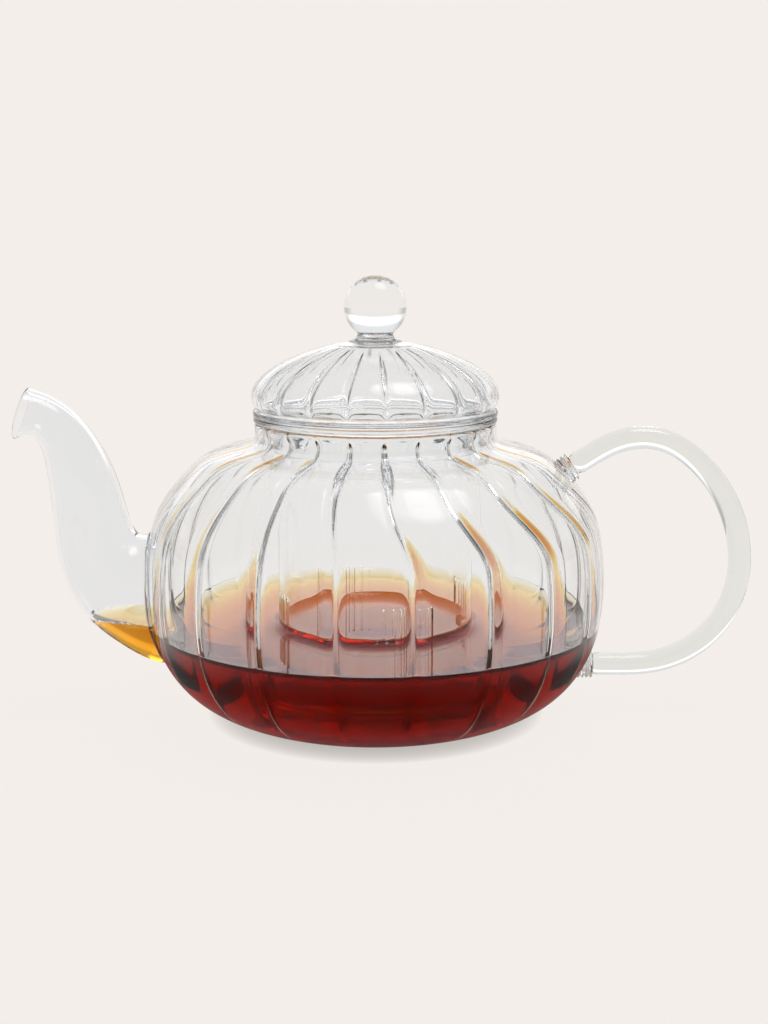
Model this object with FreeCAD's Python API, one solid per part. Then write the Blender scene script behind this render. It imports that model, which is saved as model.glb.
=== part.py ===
import FreeCAD, Part
import math
import os

# Glass teapot with a hanging glass infuser. Millimetres, +Z up, origin at the centre of the base
# on the surface it stands on. The handle points along +X and the spout along -X.

V = FreeCAD.Vector
Z_AXIS = V(0, 0, 1)
ORIGIN = V(0, 0, 0)

# Vessel
BASE_R = 30.0             # flat disc that the pot stands on
BELLY_R = 72.5            # widest outer radius
BELLY_Z = 42.0            # height of the widest ring
SHOULDER_R = 58.0
SHOULDER_Z = 79.5
NECK_R = 38.0
NECK_Z = 89.2             # where the shoulder's fillet runs out into the straight neck
LOWER_PULL_Z = 17.0       # control points that round the wall below the belly, above it,
UPPER_PULL_Z = 63.0       # at the shoulder and into the neck
SHOULDER_PULL = (68.2, 69.5)
FILLET_PULL = (50.5, 86.9)
NECK_PULL_Z = 84.2
RIM_Z = 93.2              # top of the mouth
RIM_ROUND = 0.8
WALL = 1.8                # glass at the middle of a flute
FLOOR = 2.6               # glass under the floor

# Flutes, pressed into the inside of the vessel and of the lid
FLUTES = 20
RIB_EXTRA = 1.2           # how much thicker the glass is at a rib than between two ribs
RIB_START_DEG = -83.0     # direction of one rib
FLUTE_STEP = 4.0          # length of wall between two cross-sections of the fluted inside
FLUTE_FADE = 6            # cross-sections over which the flutes grow from nothing
NECK_RINGS = ((1.7, 0.35), (3.4, 0.0), (5.4, 0.0), (8.0, 0.0))  # height above NECK_Z, share of a rib

# Infuser
CUP_FLANGE_R = 38.3
CUP_FLANGE_H = 2.1
CUP_TOP_R = 34.2          # outer radius in the mouth
CUP_LOW_R = 31.8          # outer radius below the shoulder
CUP_LOW_Z = 50.0
CUP_EASE = 12.0           # height of the soft bends at both ends of the shoulder
CUP_BASE_Z = 14.0
CUP_CORNER = 8.0
CUP_WALL = 1.5
SLIT_GROUPS = 4
SLITS = 5                 # in each group
SLIT_PITCH_DEG = 6.0
SLIT_START_DEG = -72.5    # direction of the middle of the first group
SLIT_W = 0.8
SLIT_Z = (22.5, 40.0)

# Lid
LID_Z = RIM_Z + CUP_FLANGE_H
LID_RIM_R = 38.4
LID_RIM_H = 1.9
SKIRT_R = 32.2            # outer radius
SKIRT_WALL = 1.4
SKIRT_LOW_Z = 82.5
DOME_LOW_R = 36.9
DOME_R = 39.0
DOME_R_Z = 101.2
DOME_SIDE_Z = 108.0       # control points of the dome's curve
DOME_PULL = (27.0, 114.6)
DOME_TOP_R = 13.0
DOME_TOP_Z = 117.6
DOME_CREST = 1.2          # rise from there to the centre
DOME_WALL = 1.6
DOME_RIB_EXTRA = 0.9
KNOB_R = 9.8
KNOB_Z = 128.9            # centre of the ball
KNOB_NECK_R = 5.9
KNOB_FOOT_R = 8.3

# Handle: one rod, from its upper weld round to its lower weld
ROD_R = 3.6
REACH_X = 116.6           # outermost point of the rod's centre line
REACH_Z = 47.0
BACK_R = 46.0             # arc from the outermost point up to the crown
BACK_DEG = 52.0
CROWN_R = 24.0            # arc over the top
CROWN_DEG = 70.0
LOWER_R = 32.8            # arc from the outermost point down to the lower run
UPPER_ROOT_X = 52.0       # the rod's two ends, inside the vessel's wall before trimming
LOWER_ROOT_X = 58.0
BEAD_R = 0.8              # beads of melted glass round the rod's roots
BEAD_PITCH = 1.7 * BEAD_R
UPPER_BEADS = 3
LOWER_BEADS = 5

# Spout stations from inside the wall to the lip:
# centre x, centre z, lean of the section from upright in degrees, half height, half width
SPOUT = [
    (-60.0, 35.5, 0.0, 20.6, 16.0),
    (-71.0, 36.2, 2.0, 20.3, 15.8),
    (-79.6, 39.8, 13.0, 17.6, 15.0),
    (-84.8, 44.5, 31.0, 15.8, 14.2),
    (-88.4, 51.3, 54.0, 13.7, 13.2),
    (-90.1, 59.5, 78.0, 12.1, 12.1),
    (-91.6, 70.0, 90.0, 11.2, 11.2),
    (-93.6, 78.6, 86.0, 10.1, 10.1),
    (-97.0, 86.6, 68.0, 8.4, 8.4),
    (-101.4, 92.3, 43.0, 7.4, 7.4),
    (-106.6, 95.4, 24.0, 7.3, 7.3),
    (-111.5, 95.7, 17.0, 8.5, 8.5),
]
SPOUT_WALL = 1.3
SPOUT_WELD = (1.0, 2.0)   # how far the weld ring stands out from the spout, and from the vessel

# Tea
TEA_Z = 30.9
TEA_GAP = 0.4             # kept clear of the infuser, which moves

ABOVE = 4.0               # how far a cutting form is carried past the glass that it cuts


def xz(point):
    return V(point[0], 0, point[1])


def bezier(poles):
    curve = Part.BezierCurve()
    curve.setPoles([xz(p) for p in poles])
    return curve


def line(a, b):
    return Part.LineSegment(xz(a), xz(b)).toShape()


def polyline(points):
    return [line(a, b) for a, b in zip(points, points[1:])]


def corner(a, b, centre):
    """A quarter arc from a to b, bulging away from its centre."""
    radius = math.hypot(a[0] - centre[0], a[1] - centre[1])
    out = (a[0] + b[0] - 2 * centre[0], a[1] + b[1] - 2 * centre[1])
    reach = radius / math.hypot(*out)
    middle = (centre[0] + out[0] * reach, centre[1] + out[1] * reach)
    return Part.Arc(xz(a), xz(middle), xz(b)).toShape()


def turned(edges):
    """A solid of revolution about Z from a closed outline in the XZ plane."""
    face = Part.Face(Part.Wire(edges))
    return face.revolve(ORIGIN, Z_AXIS, 360)


def at_angle(point, degrees):
    a = math.radians(degrees)
    return V(point.x * math.cos(a), point.x * math.sin(a), point.z)


# ---- fluted walls ----

def wall_stations(curves, step):
    """Points spaced evenly along an outer wall, each with the direction into the glass."""
    stations = []
    for curve in curves:
        count = max(2, round(curve.length() / step))
        for i in range(count + 1):
            if i == 0 and stations:
                continue
            t = curve.parameterAtDistance(curve.length() * i / count, 0.0) if i < count else 1.0
            along = curve.tangent(t)[0]
            stations.append((curve.value(t), V(-along.z, 0, along.x)))
    return stations


def flute_ring(outer, inward, glass, extra):
    """A closed ring of arcs, one to a flute, that meet in a sharp rib."""
    rib = outer + inward * (glass + extra)
    hollow = outer + inward * glass
    step = 360.0 / FLUTES
    arcs = []
    for k in range(FLUTES):
        start = RIB_START_DEG + k * step
        arcs.append(Part.Arc(at_angle(rib, start), at_angle(hollow, start + step / 2),
                             at_angle(rib, start + step)).toShape())
    return Part.Wire(arcs)


def smooth(x):
    x = min(1.0, max(0.0, x))
    return x * x * (3 - 2 * x)


# ---- vessel ----

def vessel_curves(grow=0.0):
    """The outer wall from the base to the neck, or a wall that stands out from it by grow."""
    slant = grow * math.sqrt(0.5)
    belly = BELLY_R + grow
    shoulder = (SHOULDER_R + slant, SHOULDER_Z + slant)
    pull = (SHOULDER_PULL[0] + slant, SHOULDER_PULL[1] + slant)
    lower = bezier([(BASE_R, -grow), (2 * BASE_R, -grow), (belly, LOWER_PULL_Z), (belly, BELLY_Z)])
    upper = bezier([(belly, BELLY_Z), (belly, UPPER_PULL_Z), pull, shoulder])
    neck = bezier([shoulder, FILLET_PULL, (NECK_R, NECK_PULL_Z), (NECK_R, NECK_Z)])
    return [lower, upper, neck]


def vessel_envelope(grow=0.0):
    """The vessel as if it were solid glass."""
    low, top = -grow, RIM_Z
    round_start = (NECK_R, top - RIM_ROUND)
    round_end = (NECK_R - RIM_ROUND, top)
    edges = [line((0, low), (BASE_R, low))]
    edges += [curve.toShape() for curve in vessel_curves(grow)]
    edges += [line((NECK_R, NECK_Z), round_start)]
    edges += [corner(round_start, round_end, (NECK_R - RIM_ROUND, top - RIM_ROUND))]
    edges += polyline([round_end, (0, top), (0, low)])
    return turned(edges)


def vessel_core():
    """The space inside the vessel, from its floor to above its mouth."""
    rings = []
    for i, (outer, inward) in enumerate(wall_stations(vessel_curves(), FLUTE_STEP)):
        grown = smooth(i / FLUTE_FADE)
        rings.append(flute_ring(outer, inward, FLOOR + (WALL - FLOOR) * grown, RIB_EXTRA * grown))
    for rise, share in NECK_RINGS:
        outer = V(NECK_R, 0, NECK_Z + rise)
        rings.append(flute_ring(outer, V(-1, 0, 0), WALL, RIB_EXTRA * share))
    return Part.makeLoft(rings, True, False)


# ---- spout ----

def spout_section(station, change):
    x, z, lean, half_height, half_width = station
    lean = math.radians(lean)
    up = V(math.sin(lean), 0, math.cos(lean))
    if half_height > half_width:
        edge = Part.Ellipse(ORIGIN, half_height + change, half_width + change).toShape()
    else:
        edge = Part.Circle(ORIGIN, Z_AXIS, half_height + change).toShape()
    turn = FreeCAD.Rotation(up, V(0, 1, 0), V(0, 0, 0), "XYZ")
    edge.Placement = FreeCAD.Placement(V(x, 0, z), turn)
    return Part.Wire(edge.toNurbs().Edges)


def spout_form(change, stretch=0.0):
    """The spout's outer form grown by change, and carried on past the lip by stretch."""
    stations = list(SPOUT)
    if stretch:
        x, z, lean, half_height, half_width = SPOUT[-1]
        ahead = V(-math.cos(math.radians(lean)), 0, math.sin(math.radians(lean))) * stretch
        stations.append((x + ahead.x, z + ahead.z, lean, half_height, half_width))
    return Part.makeLoft([spout_section(s, change) for s in stations], True, False)


def make_spout(envelope, channel):
    return spout_form(0.0).cut(envelope).cut(channel)


def make_spout_weld(envelope):
    """The ring of melted glass that runs round the spout where it meets the wall."""
    out, high = SPOUT_WELD
    ring = spout_form(out).common(vessel_envelope(high))
    return ring.cut(envelope).cut(spout_form(0.0))


# ---- handle ----

def polar(centre, radius, degrees):
    a = math.radians(degrees)
    return (centre[0] + radius * math.cos(a), centre[1] + radius * math.sin(a))


def arc_about(centre, radius, start, end):
    points = [xz(polar(centre, radius, a)) for a in (start, (start + end) / 2, end)]
    return Part.Arc(*points).toShape()


def rod_path():
    """The rod's centre line: its upper run, three arcs in a row, and its lower run."""
    back = (REACH_X - BACK_R, REACH_Z)
    crown = polar(polar(back, BACK_R, BACK_DEG), -CROWN_R, BACK_DEG)
    crown_end = BACK_DEG + CROWN_DEG
    upper = polar(crown, CROWN_R, crown_end)
    run = math.radians(crown_end - 90)
    root = (UPPER_ROOT_X, upper[1] - (upper[0] - UPPER_ROOT_X) * math.tan(run))
    low = (REACH_X - LOWER_R, REACH_Z)
    bottom = polar(low, LOWER_R, -90)
    return [line(root, upper), arc_about(crown, CROWN_R, crown_end, BACK_DEG),
            arc_about(back, BACK_R, BACK_DEG, 0), arc_about(low, LOWER_R, 0, -90),
            line(bottom, (LOWER_ROOT_X, bottom[1]))]


def rod_form():
    path = Part.Wire(rod_path())
    start = path.Edges[0]
    section = Part.Circle(start.valueAt(start.FirstParameter),
                          start.tangentAt(start.FirstParameter), ROD_R).toShape()
    return path.makePipeShell([Part.Wire(section)], True, False)


def make_rod_weld(run, envelope, rod, beads):
    """Beads of melted glass round the rod, from where its centre line leaves the wall."""
    outside = run.cut(envelope)
    root = min((v.Point for v in outside.Vertexes), key=lambda p: p.x)
    tip = max((v.Point for v in outside.Vertexes), key=lambda p: p.x)
    along = (tip - root).normalize()
    length = BEAD_PITCH * beads + ROD_R
    sleeve = Part.makeCylinder(ROD_R + BEAD_R * 0.6, length, root - along * ROD_R, along)
    for k in range(beads):
        centre = root + along * (BEAD_PITCH * (k + 0.5))
        sleeve = sleeve.fuse(Part.makeTorus(ROD_R + BEAD_R * 0.3, BEAD_R, centre, along))
    return sleeve.cut(envelope).cut(rod).removeSplitter()


# ---- infuser ----

def cup_outline(offset):
    """The infuser's outer wall from its axis to its flange, or a wall that far inside it."""
    low, top = CUP_LOW_R - offset, CUP_TOP_R - offset
    base, bend = CUP_BASE_Z + offset, CUP_CORNER - offset
    knee, mouth = CUP_LOW_Z, SKIRT_LOW_Z
    bends = [(low, knee), (low, knee + CUP_EASE), (top, mouth - CUP_EASE), (top, mouth)]
    edges = [line((0, base), (low - bend, base))]
    edges += [corner((low - bend, base), (low, base + bend), (low - bend, base + bend))]
    edges += [line((low, base + bend), (low, knee))]
    edges += [bezier(bends).toShape()]
    return edges, (top, mouth)


def cup_solid(offset, top_z):
    edges, mouth = cup_outline(offset)
    return turned(edges + polyline([mouth, (mouth[0], top_z), (0, top_z), (0, CUP_BASE_Z + offset)]))


def rounded_ring(inner, outer, low, high, edge):
    """A flat ring with its outer edges rounded."""
    edges = [line((inner, low), (outer - edge, low))]
    edges += [corner((outer - edge, low), (outer, low + edge), (outer - edge, low + edge))]
    edges += [line((outer, low + edge), (outer, high - edge))]
    edges += [corner((outer, high - edge), (outer - edge, high), (outer - edge, high - edge))]
    edges += polyline([(outer - edge, high), (inner, high), (inner, low)])
    return turned(edges)


def make_infuser():
    flange = rounded_ring(CUP_TOP_R - CUP_WALL, CUP_FLANGE_R, RIM_Z, LID_Z, CUP_FLANGE_H * 0.3)
    cup = cup_solid(0.0, LID_Z).fuse(flange).cut(cup_solid(CUP_WALL, LID_Z + ABOVE))
    slits = []
    low, high = SLIT_Z
    for group in range(SLIT_GROUPS):
        middle = SLIT_START_DEG + group * 360.0 / SLIT_GROUPS
        for k in range(SLITS):
            slit = Part.makeBox(CUP_LOW_R + ABOVE, SLIT_W, high - low, V(ABOVE, -SLIT_W / 2, low))
            slit.rotate(ORIGIN, Z_AXIS, middle + (k - (SLITS - 1) / 2) * SLIT_PITCH_DEG)
            slits.append(slit)
    return cup.cut(slits).removeSplitter()


# ---- lid ----

def dome_curves():
    lower = bezier([(DOME_LOW_R, LID_Z + LID_RIM_H), (DOME_R - 0.9, LID_Z + LID_RIM_H + 1.0),
                    (DOME_R, DOME_R_Z - 1.8), (DOME_R, DOME_R_Z)])
    upper = bezier([(DOME_R, DOME_R_Z), (DOME_R, DOME_SIDE_Z), DOME_PULL, (DOME_TOP_R, DOME_TOP_Z)])
    return [lower, upper]


def dome_envelope():
    low = LID_Z + LID_RIM_H
    crest = DOME_TOP_Z + DOME_CREST
    cap = bezier([(DOME_TOP_R, DOME_TOP_Z), (DOME_TOP_R * 0.7, crest - 0.25), (DOME_TOP_R * 0.3, crest),
                  (0, crest)])
    edges = [line((0, low), (DOME_LOW_R, low))]
    edges += [curve.toShape() for curve in dome_curves() + [cap]]
    edges += [line((0, crest), (0, low))]
    return turned(edges)


def make_dome(envelope):
    stations = wall_stations(dome_curves(), FLUTE_STEP * 0.75)
    count = len(stations)
    rings = []
    for drop in (ABOVE, ABOVE / 2):
        outer = V(DOME_LOW_R, 0, LID_Z + LID_RIM_H - drop)
        rings.append(flute_ring(outer, V(-1, 0, 0), DOME_WALL, 0.0))
    for i, (outer, inward) in enumerate(stations):
        share = smooth(i / 3) * smooth((count - 1 - i) / 5)
        rings.append(flute_ring(outer, inward, DOME_WALL, DOME_RIB_EXTRA * share))
    return envelope.cut(Part.makeLoft(rings, True, False))


def make_knob():
    return Part.makeSphere(KNOB_R, V(0, 0, KNOB_Z))


def make_knob_neck(dome, knob):
    """The pinched collar, spread at its foot, with the ball sunk a little into its top."""
    top = KNOB_Z - math.sqrt(KNOB_R ** 2 - KNOB_NECK_R ** 2)
    foot = (KNOB_FOOT_R, DOME_TOP_Z + 0.7)
    side = bezier([foot, (KNOB_NECK_R, DOME_TOP_Z + 1.2), (KNOB_NECK_R - 0.6, top - 1.2),
                   (KNOB_NECK_R, top)])
    edges = polyline([(0, top), (0, DOME_TOP_Z - 1), (KNOB_FOOT_R, DOME_TOP_Z - 1), foot])
    edges += [side.toShape(), line((KNOB_NECK_R, top), (0, top))]
    return turned(edges).cut(dome).cut(knob)


def make_skirt():
    inner = SKIRT_R - SKIRT_WALL
    return rounded_ring(inner, SKIRT_R, SKIRT_LOW_Z, LID_Z, SKIRT_WALL * 0.3)


# ---- tea ----

def below_tea(shape):
    side = 4 * BELLY_R
    return shape.common(Part.makeBox(side, side, TEA_Z + BELLY_R, V(-side / 2, -side / 2, -BELLY_R)))


def make_tea_pool(core, channel):
    """Tea outside the infuser and in the root of the spout, level with the tea inside it."""
    pool = below_tea(core).fuse(below_tea(channel))
    return pool.cut(cup_solid(-TEA_GAP, LID_Z)).removeSplitter()


def make_tea_in_infuser():
    return below_tea(cup_solid(CUP_WALL + TEA_GAP, LID_Z))


def main():
    os.makedirs("parts", exist_ok=True)
    envelope = vessel_envelope()
    core = vessel_core()
    channel = spout_form(-SPOUT_WALL, ABOVE)
    rod = rod_form()
    runs = rod_path()
    dome_form = dome_envelope()
    knob = make_knob()
    nodes = {
        "pot_body": envelope.cut(core).cut(channel),
        "spout": make_spout(envelope, channel),
        "spout_weld": make_spout_weld(envelope),
        "handle": rod.cut(envelope),
        "handle_upper_weld": make_rod_weld(runs[0], envelope, rod, UPPER_BEADS),
        "handle_lower_weld": make_rod_weld(runs[-1], envelope, rod, LOWER_BEADS),
        "infuser": make_infuser(),
        "lid_rim": rounded_ring(SKIRT_R - SKIRT_WALL, LID_RIM_R, LID_Z, LID_Z + LID_RIM_H, LID_RIM_H * 0.35),
        "lid_skirt": make_skirt(),
        "lid_dome": make_dome(dome_form),
        "lid_knob_neck": make_knob_neck(dome_form, knob),
        "lid_knob": knob,
        "tea_pool": make_tea_pool(core, channel),
        "tea_in_infuser": make_tea_in_infuser(),
    }
    for name, shape in nodes.items():
        box = shape.BoundBox
        print(f"{name:18s} valid {shape.isValid()} solids {len(shape.Solids)} volume {shape.Volume:9.1f}"
              f"  x {box.XMin:7.1f} {box.XMax:7.1f}  y {box.YMin:6.1f} {box.YMax:6.1f}"
              f"  z {box.ZMin:6.1f} {box.ZMax:6.1f}")
        shape.exportStep(f"parts/{name}.step")


main()
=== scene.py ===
import bpy
import math
import numpy as np
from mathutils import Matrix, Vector


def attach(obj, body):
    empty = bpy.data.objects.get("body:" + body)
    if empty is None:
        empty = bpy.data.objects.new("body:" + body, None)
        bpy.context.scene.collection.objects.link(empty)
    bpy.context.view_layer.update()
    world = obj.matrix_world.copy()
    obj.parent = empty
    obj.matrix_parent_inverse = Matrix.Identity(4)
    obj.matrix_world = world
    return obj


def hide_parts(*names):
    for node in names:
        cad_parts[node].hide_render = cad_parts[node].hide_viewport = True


# A fluted glass teapot with a hanging glass infuser, part filled with tea. The shapes are worked
# out in millimetres in the CAD frame and turned into metres in make_mesh. The dimensions are those
# of the CAD, except that the ribs are higher and less even, and the tea's surface is curved.

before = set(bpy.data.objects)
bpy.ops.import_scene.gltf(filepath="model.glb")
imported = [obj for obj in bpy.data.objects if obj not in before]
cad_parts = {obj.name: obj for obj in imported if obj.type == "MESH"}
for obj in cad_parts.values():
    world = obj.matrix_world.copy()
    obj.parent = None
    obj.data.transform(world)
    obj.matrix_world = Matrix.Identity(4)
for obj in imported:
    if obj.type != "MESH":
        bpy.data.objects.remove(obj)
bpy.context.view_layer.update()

MM = 0.001

# Vessel
BASE_R = 30.0
BELLY_R, BELLY_Z = 72.5, 42.0
SHOULDER_R, SHOULDER_Z = 58.0, 79.5
NECK_R, NECK_Z = 38.0, 89.2
RIM_Z = 93.2
LOWER_PULL_Z, UPPER_PULL_Z = 17.0, 63.0
SHOULDER_PULL = (68.2, 69.5)
FILLET_PULL = (50.5, 86.9)
NECK_PULL_Z = 84.2
WALL, FLOOR = 1.8, 2.6    # glass at the middle of a flute, and under the floor
THINNING = 24             # stations over which the glass thins out and the ribs grow
PUSH_UP, PUSH_UP_R = 0.7, 24.0    # the hollow under the base
FOOT_R = 27.0             # a ring on the flat part of the base
FLOOR_RINGS = (6, 12, 18, 24)     # radii of the rings across the inside of the floor
BELLY_STATIONS = 56       # stations of the wall from the base up to the belly

# Flutes
FLUTES = 20
RIB_EXTRA = 1.6           # how much thicker the glass is at a rib than between two ribs
RIB_START_DEG = -81.0     # direction of one rib on the belly
RIB_TURN_DEG = -3.7       # how far the ribs have turned when they reach the neck
RIB_TURN_Z, RIB_TURN_RISE = 58, 24    # height where the turn begins, and the height it takes
RIB_SHIFT_DEG = 3.3       # how far the belly's ribs at both sides are shifted towards the back
NECK_SHIFT_DEG = -4.8     # the same at the neck, where they are shifted towards the front
RIB_END_Z = 92.4          # where the ribs run out in the neck
RIB_WIDTH = 0.3           # share of a flute that the rib's steep sides take
RIB_SHARE_WIDE = 0.22     # share of a rib's height that is spread over the whole flute
RIB_SOFT = 0.03           # rounding of a rib's crest, as a share of half a flute
FLUTE_COLUMNS = 18        # columns of the mesh in each flute
FLUTE_CROWDING = 0.7      # how strongly the columns crowd together at the ribs

# Infuser
CUP_FLANGE_R = 38.3
CUP_TOP_R, CUP_LOW_R, CUP_LOW_Z = 34.2, 31.8, 50.0
CUP_EASE = 12.0           # height of the soft bends at both ends of the shoulder
CUP_BASE_Z, CUP_CORNER, CUP_WALL = 14.0, 8.0, 1.5
CUP_FILLET = 0.9          # under the flange
CUP_LIP = 0.6             # rounding of the mouth's inner edge
SLIT_GROUPS, SLITS = 4, 5
SLIT_PITCH_DEG, SLIT_START_DEG = 6.0, -72.5
SLIT_W = 0.8
SLIT_Z = (22.5, 40.0)

# Lid
LID_Z = 95.3
LID_RIM_R, LID_RIM_H = 38.4, 1.9
SKIRT_R, SKIRT_WALL, SKIRT_LOW_Z = 32.2, 1.4, 82.5
DOME_LOW_R, DOME_R, DOME_R_Z = 36.9, 39.0, 101.2
DOME_SIDE_Z = 108.0
DOME_PULL = (27.0, 114.6)
DOME_TOP_R, DOME_TOP_Z, DOME_CREST = 13.0, 117.6, 1.2
DOME_WALL, DOME_RIB_EXTRA = 1.6, 0.9
DOME_FADES = (12, 22)     # stations over which its flutes grow, from the foot and from the crown
DOME_SINK = 0.3           # how far the dome's foot reaches into the ring
KNOB_R, KNOB_Z = 9.8, 128.9
KNOB_NECK_R, KNOB_FOOT_R = 5.9, 8.3
KNOB_FLAT = 0.006         # share by which the ball is lower than it is wide
KNOB_DIMPLE, KNOB_DIMPLE_WIDTH = 0.05, 0.22   # its depth, and its half width in radians
AIR = 0.07                # air film between pieces that rest on each other

# Handle
ROD_R = 3.6
REACH_X, REACH_Z = 116.6, 47.0
BACK_R, BACK_DEG = 46.0, 52.0
CROWN_R, CROWN_DEG = 24.0, 70.0
LOWER_R = 32.8
UPPER_ROOT_X, LOWER_ROOT_X = 52.0, 58.0
BEAD_R = 0.8
BEAD_PITCH = 1.7 * BEAD_R
BEAD_GROOVE = 0.3         # glass left over the rod between two beads, as a share of BEAD_R
UPPER_BEADS, LOWER_BEADS = 3, 5
BEAD_ROWS = 40
UPPER_SKIP, LOWER_SKIP = 5, 4     # points of the rod outside the wall that the welds take over
ROD_SOFTENING = 30        # passes that ease the rod's centre line

# Spout stations: centre x, centre z, lean of the section from upright in degrees, half height,
# half width
SPOUT = [
    (-60.0, 35.5, 0.0, 20.6, 16.0),
    (-71.0, 36.2, 2.0, 20.3, 15.8),
    (-79.6, 39.8, 13.0, 17.6, 15.0),
    (-84.8, 44.5, 31.0, 15.8, 14.2),
    (-88.4, 51.3, 54.0, 13.7, 13.2),
    (-90.1, 59.5, 78.0, 12.1, 12.1),
    (-91.6, 70.0, 90.0, 11.2, 11.2),
    (-93.6, 78.6, 86.0, 10.1, 10.1),
    (-97.0, 86.6, 68.0, 8.4, 8.4),
    (-101.4, 92.3, 43.0, 7.4, 7.4),
    (-106.6, 95.4, 24.0, 7.3, 7.3),
    (-110.9, 95.65, 17.0, 8.4, 8.4),
]
SPOUT_WALL = 1.3
SPOUT_COLUMNS, SPOUT_ROWS = 96, 84
ROOT_REACH = 30.0         # distance along the spout within which it leaves the wall
HOLE_END = 32.0           # distance along it where the hole through the wall ends
IN_WALL = 1.0             # depth in the wall where the spout and the rod's welds begin
SPOUT_WELD_HALF, SPOUT_WELD_RISE = 1.35, 0.95

# Tea
TEA_Z = 28.6              # its level away from the glass
MENISCUS_H = 2.3          # how far its surface climbs the vessel and the inside of the infuser
CUP_MENISCUS_H = 1.2      # how far it climbs the outside of the infuser
MENISCUS_FALL = 1.8       # distance from the glass over which most of the climb is lost
STEEP_SHARE = 0.25        # share of the climb that is lost close to the glass,
STEEP_FALLS = (0.5, 0.35)         # over these distances
WETTED_Z = TEA_Z + MENISCUS_H
IN_GLASS = 0.05           # how far the tea's side reaches into the glass
OPEN_TO_AIR = "open_to_air"
TEA_ABOVE, TEA_TOP_R = 6.0, 60.0  # the tea is built too high by this, and then cut at its surface
SLAB_LOW_Z = -10.0        # bottom of the form that cuts it
CHANNEL_TIP, CHANNEL_HALF = -80.6, 14.2   # end and half width of the tea's surface in the spout


# ---- curves in the XZ plane ----

def bezier(poles, count):
    """count + 1 points along a cubic, each as (r, z, inward r, inward z)."""
    out = []
    p = np.array(poles, float)
    for t in np.linspace(0.0, 1.0, count + 1):
        u = 1 - t
        point = u ** 3 * p[0] + 3 * u * u * t * p[1] + 3 * u * t * t * p[2] + t ** 3 * p[3]
        along = u * u * (p[1] - p[0]) + 2 * u * t * (p[2] - p[1]) + t * t * (p[3] - p[2])
        along = along / np.linalg.norm(along)
        out.append((point[0], point[1], -along[1], along[0]))
    return out


def joined(*runs):
    """Runs of stations end to end, without the repeated ends."""
    out = list(runs[0])
    for run in runs[1:]:
        out += run[1:]
    return out


def arc(centre, radius, start, end, count):
    """Points of an arc in the XZ plane, in degrees."""
    angles = np.radians(np.linspace(start, end, count + 1))
    return [(centre[0] + radius * math.cos(a), centre[1] + radius * math.sin(a)) for a in angles]


def line(a, b, count):
    """count + 1 points along a straight line."""
    return [(a[0] + (b[0] - a[0]) * t, a[1] + (b[1] - a[1]) * t)
            for t in np.linspace(0, 1, count + 1)]


def smooth(x):
    x = min(1.0, max(0.0, x))
    return x * x * (3 - 2 * x)


def vessel_stations():
    lower = bezier([(BASE_R, 0), (2 * BASE_R, 0), (BELLY_R, LOWER_PULL_Z), (BELLY_R, BELLY_Z)],
                   BELLY_STATIONS)
    upper = bezier([(BELLY_R, BELLY_Z), (BELLY_R, UPPER_PULL_Z), SHOULDER_PULL,
                    (SHOULDER_R, SHOULDER_Z)], 30)
    neck = bezier([(SHOULDER_R, SHOULDER_Z), FILLET_PULL, (NECK_R, NECK_PULL_Z),
                   (NECK_R, NECK_Z)], 26)
    return joined(lower, upper, neck)


VESSEL = vessel_stations()


def depth_table(depth):
    """Radius against height of the vessel's outer wall moved inwards by depth."""
    z = np.array([s[1] + s[3] * depth for s in VESSEL] + [RIM_Z])
    r = np.array([s[0] + s[2] * depth for s in VESSEL] + [NECK_R - depth])
    return z, r


def inside_by(point, table):
    """Is a point deeper in the vessel than the wall in a depth table?"""
    z, r = table
    return math.hypot(point[0], point[1]) < np.interp(point[2], z, r)


# ---- rings ----

def even_columns(count):
    return [2 * math.pi * j / count for j in range(count)]


def flute_columns():
    """Column angles, closer together near each rib, and each column's share of a rib."""
    angles, shares = [], []
    step = 2 * math.pi / FLUTES
    for k in range(FLUTES):
        for j in range(FLUTE_COLUMNS):
            u = j / FLUTE_COLUMNS
            u = u - FLUTE_CROWDING * math.sin(2 * math.pi * u) / (2 * math.pi)
            angles.append(math.radians(RIB_START_DEG) + (k + u) * step)
            off = 2 * min(u, 1 - u)
            off = math.hypot(off, RIB_SOFT) - RIB_SOFT
            steep = max(0.0, 1 - off / RIB_WIDTH) ** 2
            wide = max(0.0, 1 - off) ** 2
            shares.append((1 - RIB_SHARE_WIDE) * steep + RIB_SHARE_WIDE * wide)
    return angles, shares


ANGLES, RIB_SHARE = flute_columns()


def columns_at(z):
    """The columns' directions at a height. At the belly the ribs stand a little wider apart in
    front than behind; on their way up to the neck they lean to one side and draw together in
    front. The lid's ribs have the neck's turn and stand evenly."""
    climbed = smooth((z - RIB_TURN_Z) / RIB_TURN_RISE)
    shift = 0.0
    if z < LID_Z:
        shift = RIB_SHIFT_DEG + (NECK_SHIFT_DEG - RIB_SHIFT_DEG) * climbed
    return [a + math.radians(RIB_TURN_DEG * climbed + shift * math.cos(a)) for a in ANGLES]


def ring(radius, z, angles=None):
    """A level ring of points, at the columns of the flutes if no angles are given."""
    return [(radius * math.cos(a), radius * math.sin(a), z) for a in (angles or columns_at(z))]


def rings(profile, angles):
    return [ring(r, z, angles) for r, z in profile]


def wall_ring(station, glass, extra):
    """The inside of a fluted wall at one station."""
    r, z, inward_r, inward_z = station
    out = []
    for a, share in zip(columns_at(z), RIB_SHARE):
        thick = glass + extra * share
        reach = r + inward_r * thick
        out.append((reach * math.cos(a), reach * math.sin(a), z + inward_z * thick))
    return out


# ---- meshes ----

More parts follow.
